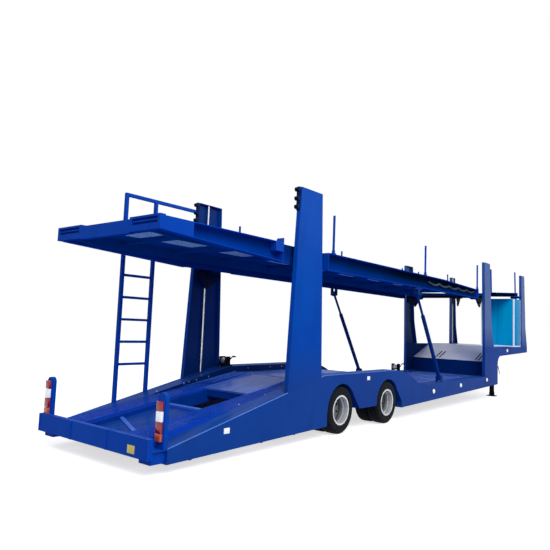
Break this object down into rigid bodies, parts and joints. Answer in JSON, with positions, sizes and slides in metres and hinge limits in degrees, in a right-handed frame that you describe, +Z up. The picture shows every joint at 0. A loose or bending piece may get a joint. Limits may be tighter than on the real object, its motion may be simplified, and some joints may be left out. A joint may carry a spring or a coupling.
{
  "type": "two-deck car transporter semi-trailer",
  "caption": "Car transporter semi-trailer with a humped lower deck between deep side beams, a raised gooseneck and an upper deck that tilts between lift masts.",
  "frame": {"origin": "on the ground under the middle of the trailer's bounding box", "axes": "+X forward to the coupling end, +Y to the left, +Z up"},
  "size_m": [16.14, 2.5, 4.15],
  "materials": {
    "blue_paint": "gloss",
    "sky_blue_paint": "gloss",
    "black_paint": "satin",
    "plain_steel": "worn",
    "bright_steel": "polished",
    "wheel_steel": "satin silver",
    "tyre_rubber": "matt"
  },
  "bodies": {
    "chassis": {"side_beam_right": "blue_paint", "side_beam_left": "blue_paint", "chassis_frame": "blue_paint", "ramp_runways": "blue_paint", "ramp_trough": "blue_paint", "lower_deck": "blue_paint", "gooseneck_deck": "blue_paint", "coupler_plate": "plain_steel", "tail_beam": "blue_paint", "rear_mast_right": "blue_paint", "rear_mast_left": "blue_paint", "mid_mast_right": "blue_paint", "mid_mast_left": "blue_paint", "front_mast_right": "blue_paint", "front_mast_left": "blue_paint", "lift_spindles": "bright_steel", "ladder": "blue_paint", "hinge_carriages": "blue_paint", "cabinet": "sky_blue_paint", "landing_legs": "black_paint", "axle_1": "black_paint", "axle_2": "black_paint", "suspension": "black_paint", "strut_foot_ears": "blue_paint"},
    "upper_deck": {"upper_frame": "blue_paint", "upper_side_beams": "blue_paint", "upper_end_beam": "blue_paint", "upper_floor": "blue_paint", "upper_stanchions": "blue_paint", "strut_head_ears": "blue_paint"},
    "rear_carriages": {"rear_carriages": "blue_paint"},
    "front_deck": {"front_frame": "blue_paint", "front_floor": "blue_paint", "front_side_beams": "blue_paint"},
    "front_carriages": {"front_carriages": "blue_paint"},
    "strut_barrels": {"strut_barrels": "blue_paint"},
    "strut_rods": {"strut_rods": "blue_paint"},
    "wheel_1_right": {"tyres_1_right": "tyre_rubber", "rims_1_right": "wheel_steel"},
    "wheel_1_left": {"tyres_1_left": "tyre_rubber", "rims_1_left": "wheel_steel"},
    "wheel_2_right": {"tyres_2_right": "tyre_rubber", "rims_2_right": "wheel_steel"},
    "wheel_2_left": {"tyres_2_left": "tyre_rubber", "rims_2_left": "wheel_steel"}
  },
  "joints": [
    {"name": "wheel_1_right_roll", "type": "hinge", "parent": "chassis", "child": "wheel_1_right", "pos_m": [-3.79, 0, 0.42], "axis": [0, 1, 0], "continuous": true},
    {"name": "wheel_1_left_roll", "type": "hinge", "parent": "chassis", "child": "wheel_1_left", "pos_m": [-3.79, 0, 0.42], "axis": [0, 1, 0], "continuous": true},
    {"name": "wheel_2_right_roll", "type": "hinge", "parent": "chassis", "child": "wheel_2_right", "pos_m": [-2.06, 0, 0.42], "axis": [0, 1, 0], "continuous": true},
    {"name": "wheel_2_left_roll", "type": "hinge", "parent": "chassis", "child": "wheel_2_left", "pos_m": [-2.06, 0, 0.42], "axis": [0, 1, 0], "continuous": true},
    {"name": "deck_tilt", "type": "hinge", "parent": "chassis", "child": "upper_deck", "pos_m": [4, 0, 2.96], "axis": [0, -1, 0], "range_deg": [0, 8]},
    {"name": "rear_lift", "type": "slide", "parent": "chassis", "child": "rear_carriages", "axis": [0, 0, -1], "range_m": [0, 1.27]},
    {"name": "strut_swing", "type": "hinge", "parent": "chassis", "child": "strut_barrels", "pos_m": [0.83, 0, 0.77], "axis": [0, -1, 0], "range_deg": [0, 9]},
    {"name": "strut_slide", "type": "slide", "parent": "strut_barrels", "child": "strut_rods", "axis": [0.5624, 0, -0.8268], "range_m": [0, 0.54]},
    {"name": "front_tilt", "type": "hinge", "parent": "chassis", "child": "front_deck", "pos_m": [4, 0, 2.96], "axis": [0, -1, 0], "range_deg": [-1, 5]},
    {"name": "front_lift", "type": "slide", "parent": "chassis", "child": "front_carriages", "axis": [0, 0, 1], "range_m": [-0.07, 0.32]}
  ],
  "couplings": [
    {"joint": "rear_lift", "follows": "deck_tilt", "m_per_rad": 9.0115},
    {"joint": "strut_swing", "follows": "deck_tilt", "ratio": 1.1},
    {"joint": "strut_slide", "follows": "deck_tilt", "m_per_rad": 3.84},
    {"joint": "front_lift", "follows": "front_tilt", "m_per_rad": 3.6069}
  ]
}
